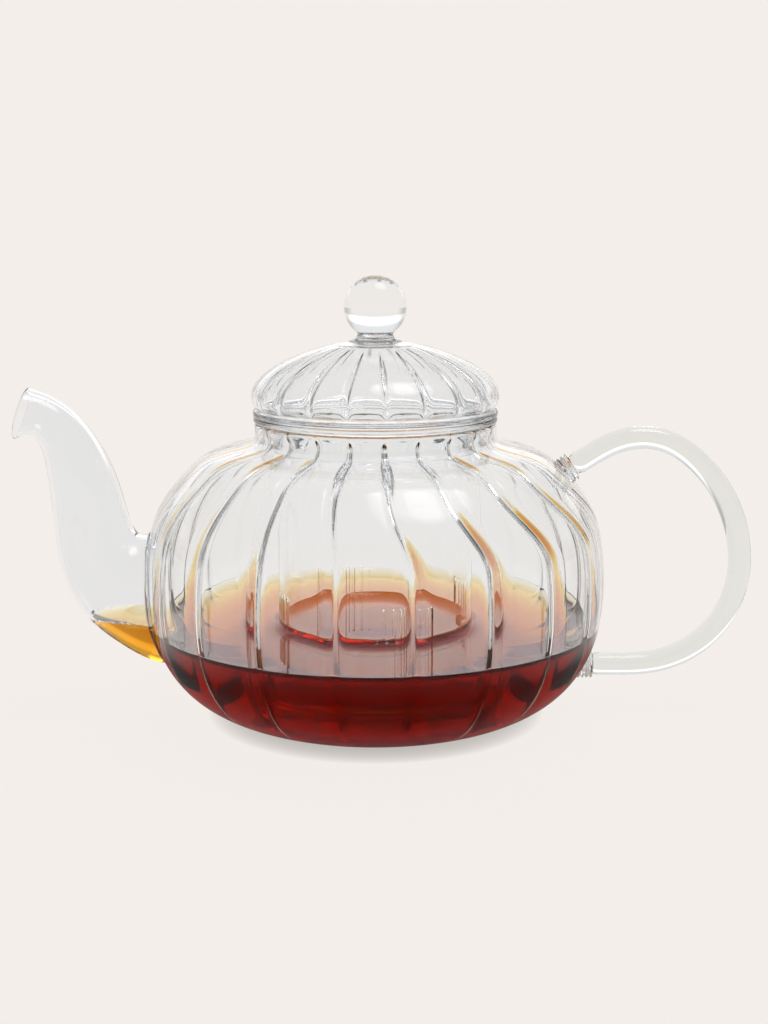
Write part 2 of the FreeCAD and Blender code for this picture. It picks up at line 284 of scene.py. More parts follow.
def make_mesh(name, rows, start=None, end=None, loop=False, wet=None):
    """A closed surface through equal rings of points. start and end close it with a point, and loop
    joins the last ring to the first. wet(row, height) says which faces touch the tea."""
    n, count = len(rows[0]), len(rows)
    verts = [p for row in rows for p in row]
    faces, kinds = [], []
    for i in range(count if loop else count - 1):
        a, b = i * n, ((i + 1) % count) * n
        height = rows[i][0][2], rows[(i + 1) % count][0][2]
        kind = 1 if wet and wet(i, sum(height) / 2) else 0
        for j in range(n):
            k = (j + 1) % n
            faces.append((a + j, a + k, b + k, b + j))
            kinds.append(kind)
    for point, row, turn in ((start, 0, 1), (end, count - 1, -1)):
        if point is None:
            continue
        verts.append(point)
        kind = 1 if wet and wet(row, point[2]) else 0
        for j in range(n):
            fan = (len(verts) - 1, row * n + (j + 1) % n, row * n + j)
            faces.append(fan[::turn])
            kinds.append(kind)
    me = bpy.data.meshes.new(name)
    me.from_pydata([(x * MM, y * MM, z * MM) for x, y, z in verts], [], faces)
    me.polygons.foreach_set("material_index", kinds)
    me.polygons.foreach_set("use_smooth", [True] * len(faces))
    me.update()
    ob = bpy.data.objects.new(name, me)
    bpy.context.scene.collection.objects.link(ob)
    face_outwards(me)
    return ob


def face_outwards(me):
    """Turns every face if the closed surface encloses a negative volume."""
    me.calc_loop_triangles()
    tri = np.empty(len(me.loop_triangles) * 3, np.int32)
    me.loop_triangles.foreach_get("vertices", tri)
    co = np.empty(len(me.vertices) * 3)
    me.vertices.foreach_get("co", co)
    a, b, c = co.reshape(-1, 3)[tri.reshape(-1, 3)].transpose(1, 0, 2)
    if np.einsum("ij,ij->", a, np.cross(b, c)) < 0:
        me.flip_normals()


def cut(ob, tool, operation="DIFFERENCE", sharp_deg=40):
    """Cuts, joins or intersects ob with another closed mesh, which is then deleted."""
    tool_name = tool.name
    modifier = ob.modifiers.new("cut", "BOOLEAN")
    modifier.object = tool
    modifier.operation = operation
    modifier.solver = "EXACT"
    graph = bpy.context.evaluated_depsgraph_get()
    me = bpy.data.meshes.new_from_object(ob.evaluated_get(graph))
    ob.modifiers.remove(modifier)
    old = ob.data
    ob.data = me
    me.name = ob.name
    bpy.data.meshes.remove(old)
    bpy.data.objects.remove(bpy.data.objects[tool_name])
    me.polygons.foreach_set("use_smooth", [True] * len(me.polygons))
    me.set_sharp_from_angle(angle=math.radians(sharp_deg))
    return ob


def piece(ob, body, nodes, materials):
    """Gives a finished mesh its materials and its place among the CAD bodies."""
    while ob.data.materials:
        ob.data.materials.pop()
    for m in materials:
        ob.data.materials.append(m)
    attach(ob, body)
    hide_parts(*nodes)
    return ob


# ---- vessel ----

def wall_at(i):
    """Glass and rib thickness at a station of the vessel's wall."""
    grown = smooth(i / THINNING)
    return FLOOR + (WALL - FLOOR) * grown, RIB_EXTRA * grown


def neck_runs():
    """Heights of the straight neck, with the share of a rib that is left at each."""
    heights = np.linspace(NECK_Z, RIM_Z - WALL / 2, 9)
    return [(z, smooth((RIB_END_Z - z) / (RIB_END_Z - NECK_Z))) for z in heights]


def vessel_inside(into_glass=0.0):
    """Rings of the inner wall from the floor up, moved into the glass by a distance."""
    rows = [ring(r, FLOOR - into_glass) for r in FLOOR_RINGS]
    for i, station in enumerate(VESSEL):
        glass, extra = wall_at(i)
        rows.append(wall_ring(station, glass - into_glass, extra))
    for z, share in neck_runs()[1:]:
        rows.append(wall_ring((NECK_R, z, -1, 0), WALL - into_glass, RIB_EXTRA * share))
    return rows


def make_body():
    hollow = [(r, PUSH_UP * (1 - (r / PUSH_UP_R) ** 2) ** 2) for r in (4, 8, 12, 16, 20, PUSH_UP_R)]
    rows = [ring(r, z) for r, z in hollow + [(FOOT_R, 0.0)]]
    rows += [ring(s[0], s[1]) for s in VESSEL]
    rows += [ring(NECK_R, z) for z, _ in neck_runs()[1:]]
    centre = (NECK_R - WALL / 2, RIM_Z - WALL / 2)
    rows += [ring(r, z) for r, z in arc(centre, WALL / 2, 0, 180, 10)[1:-1]]
    outside = len(rows)
    rows += vessel_inside()[::-1]
    return make_mesh("pot_body", rows, (0, 0, PUSH_UP), (0, 0, FLOOR),
                     wet=lambda row, z: row >= outside and z < WETTED_Z)


# ---- spout ----

def spline(xs, ys, at):
    """A natural cubic spline through (xs, ys)."""
    n = len(xs)
    h = np.diff(xs)
    a = np.eye(n)
    b = np.zeros(n)
    for i in range(1, n - 1):
        a[i, i - 1:i + 2] = h[i - 1], 2 * (h[i - 1] + h[i]), h[i]
        b[i] = 6 * ((ys[i + 1] - ys[i]) / h[i] - (ys[i] - ys[i - 1]) / h[i - 1])
    m = np.linalg.solve(a, b)
    i = np.clip(np.searchsorted(xs, at) - 1, 0, n - 2)
    u, v = at - xs[i], xs[i + 1] - at
    return (m[i] * v ** 3 + m[i + 1] * u ** 3) / (6 * h[i]) \
        + (ys[i] / h[i] - m[i] * h[i] / 6) * v + (ys[i + 1] / h[i] - m[i + 1] * h[i] / 6) * u


SPOUT_TABLE = np.array(SPOUT)
SPOUT_AT = np.concatenate([[0.0], np.cumsum(np.hypot(*np.diff(SPOUT_TABLE[:, :2], axis=0).T))])
SPOUT_END = SPOUT_AT[-1]


def spout_point(s, angle, change, ahead=0.0):
    """A point of the spout's section at distance s along it, with its form grown by change."""
    x, z, lean, half_height, half_width = (spline(SPOUT_AT, SPOUT_TABLE[:, k], s) for k in range(5))
    lean = math.radians(lean)
    up = (half_height + change) * math.cos(angle)
    side = (half_width + change) * math.sin(angle)
    return (x + up * math.sin(lean) - ahead * math.cos(lean), side,
            z + up * math.cos(lean) + ahead * math.sin(lean))


def crossing(point_at, table, low, high):
    """Where a line of points leaves the vessel's wall at the depth of a table."""
    for _ in range(28):
        middle = (low + high) / 2
        if inside_by(point_at(middle), table):
            low = middle
        else:
            high = middle
    return (low + high) / 2


def spout_surface(change):
    """Rings of the spout, with its form grown by change, from its root in the wall to the lip."""
    table = depth_table(IN_WALL)
    angles = even_columns(SPOUT_COLUMNS)
    roots = [crossing(lambda s: spout_point(s, a, change), table, 0.0, ROOT_REACH)
             for a in angles]
    rows = []
    for i in range(SPOUT_ROWS + 1):
        t = i / SPOUT_ROWS
        rows.append([spout_point(s + (SPOUT_END - s) * t, a, change)
                     for s, a in zip(roots, angles)])
    return rows


def make_spout():
    angles = even_columns(SPOUT_COLUMNS)
    outer = spout_surface(0.0)
    inner = spout_surface(-SPOUT_WALL)
    half = SPOUT_WALL / 2
    lip = []
    for turn in np.radians(np.linspace(18, 162, 9)):
        change, ahead = -half + half * math.cos(turn), half * math.sin(turn)
        lip.append([spout_point(SPOUT_END, a, change, ahead) for a in angles])
    rows = outer + lip + inner[::-1]
    first_inner = len(outer) + len(lip)
    ob = make_mesh("spout", rows, loop=True)
    me = ob.data
    kinds = []
    for face in me.polygons:
        row = face.index // SPOUT_COLUMNS
        wet = row >= first_inner and face.center.z < WETTED_Z * MM
        kinds.append(1 if wet else 0)
    me.polygons.foreach_set("material_index", kinds)
    return ob


def channel_form(change, end, name):
    """The closed form of the spout's channel, from inside the vessel to a distance along it."""
    angles = even_columns(SPOUT_COLUMNS)
    stops = np.linspace(0.0, end, 24)
    rows = [[spout_point(s, a, change) for a in angles] for s in stops]
    caps = [tuple(np.mean(row, axis=0)) for row in (rows[0], rows[-1])]
    return make_mesh(name, rows, *caps)


def make_spout_weld():
    """A raised ring of melted glass along the line where the spout meets the wall."""
    table = depth_table(0.0)
    angles = even_columns(SPOUT_COLUMNS)
    line_points = []
    for a in angles:
        s = crossing(lambda d: spout_point(d, a, 0.0), table, 0.0, ROOT_REACH)
        line_points.append(Vector(spout_point(s, a, 0.0)))
    n = len(line_points)
    turns = even_columns(20)
    rows = [[] for _ in turns]
    for j, p in enumerate(line_points):
        along = (line_points[(j + 1) % n] - line_points[j - 1]).normalized()
        out = Vector((p.x, p.y, 0)).normalized()
        side = along.cross(out).normalized()
        out = side.cross(along).normalized()
        # The ring was laid on by hand, so its height is not quite even.
        swell = 1 + 0.12 * math.sin(3 * angles[j]) + 0.08 * math.sin(7 * angles[j] + 1)
        for i, t in enumerate(turns):
            rows[i].append(tuple(p + side * SPOUT_WELD_HALF * math.cos(t)
                                 + out * SPOUT_WELD_RISE * swell * math.sin(t)))
    return make_mesh("spout_weld", rows, loop=True)


# ---- handle ----

def polar(centre, radius, degrees):
    a = math.radians(degrees)
    return (centre[0] + radius * math.cos(a), centre[1] + radius * math.sin(a))


def rod_path():
    """The rod's centre line from its upper root round to its lower root."""
    back = (REACH_X - BACK_R, REACH_Z)
    crown = polar(polar(back, BACK_R, BACK_DEG), -CROWN_R, BACK_DEG)
    crown_end = BACK_DEG + CROWN_DEG
    upper = polar(crown, CROWN_R, crown_end)
    run = math.radians(crown_end - 90)
    root = (UPPER_ROOT_X, upper[1] - (upper[0] - UPPER_ROOT_X) * math.tan(run))
    low = (REACH_X - LOWER_R, REACH_Z)
    bottom = polar(low, LOWER_R, -90)
    return [line(root, upper, 34), arc(crown, CROWN_R, crown_end, BACK_DEG, 30),
            arc(back, BACK_R, BACK_DEG, 0, 40), arc(low, LOWER_R, 0, -90, 50),
            line(bottom, (LOWER_ROOT_X, bottom[1]), 26)]


def softened(points, passes):
    """Eases the jumps in curvature where arcs and straight runs meet."""
    p = np.array(points)
    for _ in range(passes):
        p[1:-1] = p[1:-1] * 0.5 + (p[:-2] + p[2:]) * 0.25
    return p


def run_leaves(points):
    """Index of the first point of a run, root first, that is outside the vessel."""
    table = depth_table(0.0)
    for i, p in enumerate(points):
        if not inside_by((p[0], 0, p[1]), table):
            return i
    return 0


def make_handle():
    points = softened(joined(*rod_path()), ROD_SOFTENING)
    first = run_leaves(points) + UPPER_SKIP
    last = run_leaves(points[::-1]) + LOWER_SKIP
    points = points[first:len(points) - last]
    angles = even_columns(48)
    n = len(points)
    rows = []
    for i, p in enumerate(points):
        along = points[min(i + 1, n - 1)] - points[max(i - 1, 0)]
        along = along / np.linalg.norm(along)
        normal = np.array((-along[1], along[0]))
        # The rod was drawn by hand, so it is not quite even. Its ends are rounded off.
        radius = ROD_R * (1 + 0.012 * math.sin(i * 0.11) + 0.008 * math.sin(i * 0.27 + 2))
        radius *= 0.86 + 0.14 * smooth(min(i, n - 1 - i) / 3)
        rows.append([(p[0] + normal[0] * radius * math.cos(a), radius * math.sin(a),
                      p[1] + normal[1] * radius * math.cos(a)) for a in angles])
    ends = [(points[k][0], 0, points[k][1]) for k in (0, -1)]
    return make_mesh("handle", rows, *ends)


def make_rod_weld(name, run, beads):
    """The melted root of the rod, with beads round it, from inside the wall outwards."""
    points = run if run[0][0] < run[-1][0] else run[::-1]
    start, tip = np.array(points[0]), np.array(points[-1])
    along = (tip - start) / np.linalg.norm(tip - start)
    normal = np.array((-along[1], along[0]))
    angles = even_columns(64)
    table = depth_table(IN_WALL)
    reach = np.linalg.norm(tip - start)

    def at(s, a, radius):
        p = start + along * s + normal * radius * math.cos(a)
        return (p[0], radius * math.sin(a), p[1])

    foot = ROD_R + BEAD_R
    roots = [crossing(lambda s: at(s, a, foot), table, 0.0, reach) for a in angles]
    middle = crossing(lambda s: at(s, 0, 0), table, 0.0, reach)
    end = max(max(roots) + BEAD_PITCH, middle + BEAD_PITCH * beads)
    rows = []
    for i in range(BEAD_ROWS + 1):
        t = i / BEAD_ROWS
        row = []
        for s0, a in zip(roots, angles):
            s = s0 + (end - s0) * t
            ridge = 0.5 - 0.5 * math.cos(2 * math.pi * (end - s) / BEAD_PITCH)
            taper = 1 - 0.2 * smooth(1 - (end - s) / 0.5)    # over the last half millimetre
            row.append(at(s, a, (ROD_R + BEAD_R * (BEAD_GROOVE + ridge)) * taper))
        rows.append(row)
    return make_mesh(name, rows, at(middle, 0, 0), at(end, 0, 0))


# ---- infuser ----

def cup_side(offset):
    """Profile of the infuser's wall, moved into the glass by offset, up to the skirt's foot."""
    low, top = CUP_LOW_R - offset, CUP_TOP_R - offset
    base, bend = CUP_BASE_Z + offset, CUP_CORNER - offset
    out = line((4.0, base), (low - bend, base), 6)
    out += arc((low - bend, base + bend), bend, -90, 0, 14)[1:]
    levels = [*np.linspace(base + bend, TEA_Z, 7)[1:], TEA_Z + CUP_MENISCUS_H]
    levels += [*np.linspace(WETTED_Z, CUP_LOW_Z, 9)]
    out += [(low, z) for z in levels]
    shoulder = bezier([(low, CUP_LOW_Z), (low, CUP_LOW_Z + CUP_EASE),
                       (top, SKIRT_LOW_Z - CUP_EASE), (top, SKIRT_LOW_Z)], 20)
    return out + [(p[0], p[1]) for p in shoulder[1:]]


def make_infuser():
    flange_low, flange_top = RIM_Z + AIR, LID_Z - AIR
    edge = (flange_top - flange_low) / 2
    fillet_r, flange_r = CUP_TOP_R + CUP_FILLET, CUP_FLANGE_R - edge
    fillet_z = flange_low - CUP_FILLET
    mouth = CUP_TOP_R - CUP_WALL
    lip_r, lip_z = mouth + CUP_LIP, flange_top - CUP_LIP
    outer = cup_side(0.0) + line((CUP_TOP_R, SKIRT_LOW_Z), (CUP_TOP_R, fillet_z), 6)[1:]
    outer += arc((fillet_r, fillet_z), CUP_FILLET, 180, 90, 6)[1:]
    outer += line((fillet_r, flange_low), (flange_r, flange_low), 4)[1:]
    outer += arc((flange_r, flange_low + edge), edge, -90, 90, 12)[1:]
    outer += line((flange_r, flange_top), (lip_r, flange_top), 5)[1:]
    outer += arc((lip_r, lip_z), CUP_LIP, 90, 180, 5)[1:]
    inner = cup_side(CUP_WALL) + line((mouth, SKIRT_LOW_Z), (mouth, lip_z), 8)[1:-1]

    def wet(row, z):
        return z < (TEA_Z + CUP_MENISCUS_H if row < len(outer) else WETTED_Z)

    rows = rings(outer + inner[::-1], even_columns(240))
    ob = make_mesh("infuser", rows, (0, 0, CUP_BASE_Z), (0, 0, CUP_BASE_Z + CUP_WALL), wet=wet)
    return cut(ob, slit_tool())


def slit_tool():
    """All the slits as one cutting form: upright slots with round ends."""
    verts, faces, kinds = [], [], []
    half = SLIT_W / 2
    low, high = SLIT_Z
    outline = [(-half, WETTED_Z)] + arc((0, low + half), half, 180, 360, 8)
    outline += [(half, WETTED_Z)] + arc((0, high - half), half, 0, 180, 8)
    n = len(outline)
    for group in range(SLIT_GROUPS):
        for k in range(SLITS):
            turn = SLIT_START_DEG + group * 360 / SLIT_GROUPS
            turn = math.radians(turn + (k - (SLITS - 1) / 2) * SLIT_PITCH_DEG)
            c, s = math.cos(turn), math.sin(turn)
            base = len(verts)
            for x in (CUP_LOW_R - 4, CUP_LOW_R + 4):
                verts += [((x * c - y * s) * MM, (x * s + y * c) * MM, z * MM) for y, z in outline]
            faces.append(tuple(base + j for j in range(n))[::-1])
            faces.append(tuple(base + n + j for j in range(n)))
            kinds += [0, 0]
            for j in range(n):
                m = (j + 1) % n
                faces.append((base + j, base + m, base + n + m, base + n + j))
                height = (outline[j][1] + outline[m][1]) / 2
                kinds.append(1 if height < WETTED_Z else 0)
    me = bpy.data.meshes.new("slits")
    me.from_pydata(verts, [], faces)
    me.polygons.foreach_set("material_index", kinds)
    face_outwards(me)
    ob = bpy.data.objects.new("slits", me)
    bpy.context.scene.collection.objects.link(ob)
    return ob


# ---- lid ----

def closed_strip(inner, outer, low, high, low_edge, high_edge):
    """Outline of a ring's section with rounded edges, as a closed loop."""
    out = []
    corners = (((outer, low), (-1, 1), -90, low_edge), ((outer, high), (-1, -1), 0, high_edge),
               ((inner, high), (1, -1), 90, high_edge), ((inner, low), (1, 1), 180, low_edge))
    for (r, z), (dr, dz), start, edge in corners:
        out += arc((r + dr * edge, z + dz * edge), edge, start, start + 90, 6)
    dense = []
    for a, b in zip(out, out[1:] + out[:1]):
        steps = max(1, int(math.dist(a, b) / 1.2))
        dense += line(a, b, steps)[:-1]
    return dense


def dome_stations():
    low = LID_Z + LID_RIM_H
    lower = bezier([(DOME_LOW_R, low), (DOME_R - 0.9, low + 1.0), (DOME_R, DOME_R_Z - 1.8),
                    (DOME_R, DOME_R_Z)], 12)
    upper = bezier([(DOME_R, DOME_R_Z), (DOME_R, DOME_SIDE_Z), DOME_PULL,
                    (DOME_TOP_R, DOME_TOP_Z)], 48)
    crest = DOME_TOP_Z + DOME_CREST
    cap = bezier([(DOME_TOP_R, DOME_TOP_Z), (DOME_TOP_R * 0.7, crest - 0.25),
                  (DOME_TOP_R * 0.3, crest), (0, crest)], 14)
    return joined(lower, upper), cap


def make_dome():
    side, cap = dome_stations()
    foot_z = LID_Z + LID_RIM_H - DOME_SINK
    outer = [ring(DOME_LOW_R, foot_z)] + [ring(s[0], s[1]) for s in joined(side, cap)[:-1]]
    inner = []
    for i, station in enumerate(side):
        share = smooth(i / DOME_FADES[0]) * smooth((len(side) - 1 - i) / DOME_FADES[1])
        inner.append(wall_ring(station, DOME_WALL, DOME_RIB_EXTRA * share))
    inner += [ring(s[0] * (DOME_TOP_R - 0.7) / DOME_TOP_R, s[1] - DOME_WALL) for s in cap[1:-1]]
    foot = (DOME_LOW_R - DOME_WALL / 2, foot_z)
    bottom = [ring(r, z) for r, z in arc(foot, DOME_WALL / 2, 180, 360, 8)[1:-1]]
    rows = inner[::-1] + [ring(DOME_LOW_R - DOME_WALL, foot_z)] + bottom + outer
    crest = DOME_TOP_Z + DOME_CREST
    return make_mesh("lid_dome", rows, (0, 0, crest - DOME_WALL), (0, 0, crest))


def make_lid_rim():
    outline = closed_strip(SKIRT_R - SKIRT_WALL, LID_RIM_R, LID_Z + AIR / 2, LID_Z + LID_RIM_H,
                           0.6, 0.6)
    return make_mesh("lid_rim", rings(outline, even_columns(240)), loop=True)


def make_skirt():
    outline = closed_strip(SKIRT_R - SKIRT_WALL, SKIRT_R, SKIRT_LOW_Z, LID_Z + 0.7, 0.68, 0.45)
    return make_mesh("lid_skirt", rings(outline, even_columns(200)), loop=True)


def make_knob_neck():
    top = KNOB_Z - math.sqrt(KNOB_R ** 2 - KNOB_NECK_R ** 2)
    side = bezier([(KNOB_FOOT_R, DOME_TOP_Z + 0.8), (KNOB_NECK_R, DOME_TOP_Z + 1.2),
                   (KNOB_NECK_R - 0.6, top - 1.2), (KNOB_NECK_R - 0.1, top + 0.5)], 20)
    low = DOME_TOP_Z + 0.4
    profile = [(3.0, low), (6.0, low), (KNOB_FOOT_R - 0.4, low)] + [(s[0], s[1]) for s in side]
    profile += [(4.0, top + 0.8), (2.0, top + 0.9)]
    return make_mesh("lid_knob_neck", rings(profile, even_columns(96)), (0, 0, low),
                     (0, 0, top + 0.9))


def make_knob():
    """The solid ball: very slightly flattened, with a soft dimple at the top, where it was cut
    off."""
    profile = []
    for turn in np.radians(np.linspace(-90, 90, 65)[1:-1]):
        flat = 1 - KNOB_FLAT * math.sin(turn) ** 2
        dimple = KNOB_DIMPLE * math.exp(-((math.pi / 2 - turn) / KNOB_DIMPLE_WIDTH) ** 2)
        profile.append((KNOB_R * math.cos(turn),
                        KNOB_Z + (KNOB_R * flat - dimple) * math.sin(turn)))
    reach = KNOB_R * (1 - KNOB_FLAT)
    ends = [(0, 0, KNOB_Z - reach), (0, 0, KNOB_Z + reach - KNOB_DIMPLE)]
    return make_mesh("lid_knob", rings(profile, even_columns(128)), *ends)


# ---- tea ----

def channel_distance(x, y):
    """How far a point on the tea's surface is inside the spout's channel. Negative outside it."""
    root = SPOUT[0][0]
    along = (min(x, root) - root) / (CHANNEL_TIP - root)
    half = CHANNEL_HALF * math.sqrt(max(0.0, 1 - along ** 4))
    return min(half - abs(y), x - CHANNEL_TIP)


def climb(away, height):
    """How far the surface stands above its level, at a distance from the glass that draws it up."""
    away = max(0.0, away)
    slow = 1 - STEEP_SHARE * math.exp(-away / STEEP_FALLS[0])
    steep = STEEP_SHARE * math.exp(-away / STEEP_FALLS[1])
    return height * (math.exp(-away / MENISCUS_FALL) * slow + steep)


def tea_height(x, y, wall_r):
    """The surface's height, drawn up along the glass."""
    r = math.hypot(x, y)
    middle = CUP_LOW_R - CUP_WALL / 2
    if r < middle:
        return TEA_Z + climb(CUP_LOW_R - CUP_WALL - r, MENISCUS_H)
    return TEA_Z + max(climb(r - CUP_LOW_R, CUP_MENISCUS_H),
                       climb(max(wall_r - r, channel_distance(x, y)), MENISCUS_H))


def surface_radii():
    """Radii of the surface's rings, closer together near the glass."""
    cup_in, cup_out = CUP_LOW_R - CUP_WALL, CUP_LOW_R
    near = [0.12, 0.3, 0.55, 0.85, 1.2, 1.7, 2.3, 3.1, 4.2, 5.8, 8.0]
    radii = [4, 9, 14, 18] + [cup_in - d for d in near[::-1]] + [cup_in + 0.02, cup_out - 0.02]
    radii += [cup_out + d for d in near] + [43, 47, 51, 55, 58, 60.5, 62.2, 63.6]
    radii += list(np.arange(64.6, 72.0, 0.3)) + list(np.arange(72.0, 92.0, 1.0))
    return radii


def wall_radius_at(z):
    """The inner wall's radius at each column of flutes, at a height below the belly."""
    first = len(FLOOR_RINGS)
    rows = np.array(vessel_inside()[first:first + BELLY_STATIONS + 1])
    out = []
    for j in range(len(ANGLES)):
        column = rows[:, j]
        out.append(np.interp(z, column[:, 2], np.hypot(column[:, 0], column[:, 1])))
    return out


def make_tea():
    """One closed body of tea: pool, infuser and the root of the spout, under one curved surface."""
    top_z = WETTED_Z + TEA_ABOVE
    inside = [row for row in vessel_inside(IN_GLASS) if row[0][2] < top_z]
    inside.append(ring(TEA_TOP_R, top_z))
    pool = make_mesh("tea", inside, (0, 0, FLOOR - IN_GLASS), (0, 0, top_z))
    cut(pool, channel_form(IN_GLASS - SPOUT_WALL, ROOT_REACH, "tea_channel"), "UNION")
    wall_r = wall_radius_at(TEA_Z)
    rows = []
    for r in surface_radii():
        rows.append([(x, y, tea_height(x, y, w))
                     for (x, y, _), w in zip(ring(r, TEA_Z), wall_r)])
    rows.append(ring(surface_radii()[-1], SLAB_LOW_Z))
    slab = make_mesh("tea_slab", rows, (0, 0, TEA_Z), (0, 0, SLAB_LOW_Z))
    slab.data.polygons.foreach_set("material_index", [1] * len(slab.data.polygons))
    cut(pool, slab, "INTERSECT", 50)
    me = pool.data
    kinds = np.zeros(len(me.polygons), np.int32)
    me.polygons.foreach_get("material_index", kinds)
    is_open = me.attributes.new(OPEN_TO_AIR, "FLOAT", "FACE")
    is_open.data.foreach_set("value", kinds.astype(np.float32))
    me.polygons.foreach_set("material_index", np.zeros_like(kinds))
    return pool


# ---- materials ----

GLASS_IOR, TEA_IOR = 1.47, 1.333
POT_TINT = (0.966, 0.986, 1.0)
SPOUT_TINT = (0.94, 0.96, 0.98)
LID_TINT = (0.95, 0.966, 0.98)
CUP_TINT = (1.0, 1.0, 1.0)
GLOSS = 0.3               # tint of the glass's face-on reflections
RIPPLE_SCALE, RIPPLE = 26.0, 0.00006      # the glass's ripples, in metres high
ROUGHEST = 0.03           # roughness of the least fire-polished spots
PAINTED_SHADE_SHARE = 0.82        # share of the outer wall's reflections taken out below the tea's level, as painted shade
PAINTED_SHADE_Z = (TEA_Z - 6, TEA_Z + 3)  # heights between which that share falls to nothing
PAINTED_SHADE_TINT = (0.98, 0.99, 1.0)
ROD_TINT, ROD_GLOSS = (0.965, 0.98, 0.975), 0.6
ROD_LETS_THROUGH, ROD_DENSITY = (0.0, 0.2, 0.1), 16.0
TEA_SURFACE = (0.98, 0.98, 0.98)
TEA_LETS_THROUGH, TEA_DENSITY = (0.914, 0.70, 0.0), 200.0
TEA_RIPPLE_SCALE, TEA_RIPPLE = 40.0, 0.00002


def set_inputs(node, **values):
    """Sets sockets by name, with underscores for spaces."""
    for name, value in values.items():
        node.inputs[name.replace("_", " ")].default_value = value


def map_range(tree, source, low, high, to_low, to_high):
    node = tree.nodes.new("ShaderNodeMapRange")
    node.interpolation_type = "SMOOTHSTEP"
    set_inputs(node, From_Min=low, From_Max=high, To_Min=to_low, To_Max=to_high)
    tree.links.new(source, node.inputs["Value"])
    return node.outputs["Result"]


def math_node(tree, operation, a, b):
    node = tree.nodes.new("ShaderNodeMath")
    node.operation = operation
    for socket, value in zip(node.inputs, (a, b)):
        if isinstance(value, (int, float)):
            socket.default_value = value
        else:
            tree.links.new(value, socket)
    return node.outputs["Value"]


def new_material(name):
    m = bpy.data.materials.new(name)
    m.use_nodes = True
    nodes, links = m.node_tree.nodes, m.node_tree.links
    return m, nodes, links, nodes["Principled BSDF"], nodes["Material Output"]


def waviness(nodes, links, shader, scale, distance):
    """Slow ripples in a surface, as hand-worked glass has, with a fine variation in its gloss."""
    place = nodes.new("ShaderNodeTexCoord")
    slow = nodes.new("ShaderNodeTexNoise")
    set_inputs(slow, Scale=scale, Detail=1.5)
    links.new(place.outputs["Object"], slow.inputs["Vector"])
    bump = nodes.new("ShaderNodeBump")
    set_inputs(bump, Strength=1.0, Distance=distance)
    links.new(slow.outputs["Fac"], bump.inputs["Height"])
    links.new(bump.outputs["Normal"], shader.inputs["Normal"])
    fine = nodes.new("ShaderNodeTexNoise")
    set_inputs(fine, Scale=scale * 6, Detail=4.0)
    links.new(place.outputs["Object"], fine.inputs["Vector"])
    ramp = nodes.new("ShaderNodeMapRange")
    set_inputs(ramp, From_Min=0.45, From_Max=0.8, To_Min=0.0, To_Max=ROUGHEST)
    links.new(fine.outputs["Fac"], ramp.inputs["Value"])
    links.new(ramp.outputs["Result"], shader.inputs["Roughness"])


def absorb(nodes, links, output, color, density):
    volume = nodes.new("ShaderNodeVolumeAbsorption")
    set_inputs(volume, Color=(*color, 1), Density=density)
    links.new(volume.outputs["Volume"], output.inputs["Volume"])


def glass_material(name, ior, tint, gloss=1.0):
    m, nodes, links, shader, _ = new_material(name)
    set_inputs(shader, Base_Color=(*tint, 1), Transmission_Weight=1.0, IOR=ior,
               Specular_Tint=(gloss, gloss, gloss, 1))
    waviness(nodes, links, shader, RIPPLE_SCALE, RIPPLE)
    return m


def vessel_material(name, tint):
    """Clear glass which below the level of the tea gives back little of the bright floor: painted
    shade, its reflections cut as if the floor near the pot lay in shadow. Only the faces seen from
    outside are changed."""
    m = glass_material(name, GLASS_IOR, tint, GLOSS)
    nodes, links = m.node_tree.nodes, m.node_tree.links
    shader = nodes["Principled BSDF"]
    painted_shade_bsdf = nodes.new("ShaderNodeBsdfRefraction")
    set_inputs(painted_shade_bsdf, IOR=GLASS_IOR, Roughness=0.0, Color=(*PAINTED_SHADE_TINT, 1))
    links.new(nodes["Bump"].outputs["Normal"], painted_shade_bsdf.inputs["Normal"])
    place = nodes.new("ShaderNodeTexCoord")
    split = nodes.new("ShaderNodeSeparateXYZ")
    links.new(place.outputs["Object"], split.inputs["Vector"])
    # Painted shade: the outer wall's reflections fade out below the tea's level.
    below = map_range(m.node_tree, split.outputs["Z"], PAINTED_SHADE_Z[0] * MM, PAINTED_SHADE_Z[1] * MM,
                      PAINTED_SHADE_SHARE, 0.0)
    side = nodes.new("ShaderNodeNewGeometry")
    outside = math_node(m.node_tree, "SUBTRACT", 1.0, side.outputs["Backfacing"])
    mix = nodes.new("ShaderNodeMixShader")
    links.new(math_node(m.node_tree, "MULTIPLY", below, outside), mix.inputs["Fac"])
    links.new(shader.outputs["BSDF"], mix.inputs[1])
    links.new(painted_shade_bsdf.outputs["BSDF"], mix.inputs[2])
    links.new(mix.outputs["Shader"], nodes["Material Output"].inputs["Surface"])
    return m


def rod_material(name):
    """Thick glass, with the faint grey-green that it shows along its length."""
    m = glass_material(name, GLASS_IOR, ROD_TINT, ROD_GLOSS)
    nodes, links = m.node_tree.nodes, m.node_tree.links
    absorb(nodes, links, nodes["Material Output"], ROD_LETS_THROUGH, ROD_DENSITY)
    return m


def tea_material(name):
    """Clear tea. Where it lies against glass its surface lets light straight through, because the
    glass's own surface there bends the light by the ratio of the two."""
    m, nodes, links, shader, output = new_material(name)
    set_inputs(shader, Base_Color=(*TEA_SURFACE, 1), Transmission_Weight=1.0, IOR=TEA_IOR)
    waviness(nodes, links, shader, TEA_RIPPLE_SCALE, TEA_RIPPLE)
    absorb(nodes, links, output, TEA_LETS_THROUGH, TEA_DENSITY)
    against_glass = nodes.new("ShaderNodeBsdfTransparent")
    is_open = nodes.new("ShaderNodeAttribute")
    is_open.attribute_name = OPEN_TO_AIR
    mix = nodes.new("ShaderNodeMixShader")
    links.new(is_open.outputs["Fac"], mix.inputs["Fac"])
    links.new(against_glass.outputs["BSDF"], mix.inputs[1])
    links.new(shader.outputs["BSDF"], mix.inputs[2])
    links.new(mix.outputs["Shader"], output.inputs["Surface"])
    return m


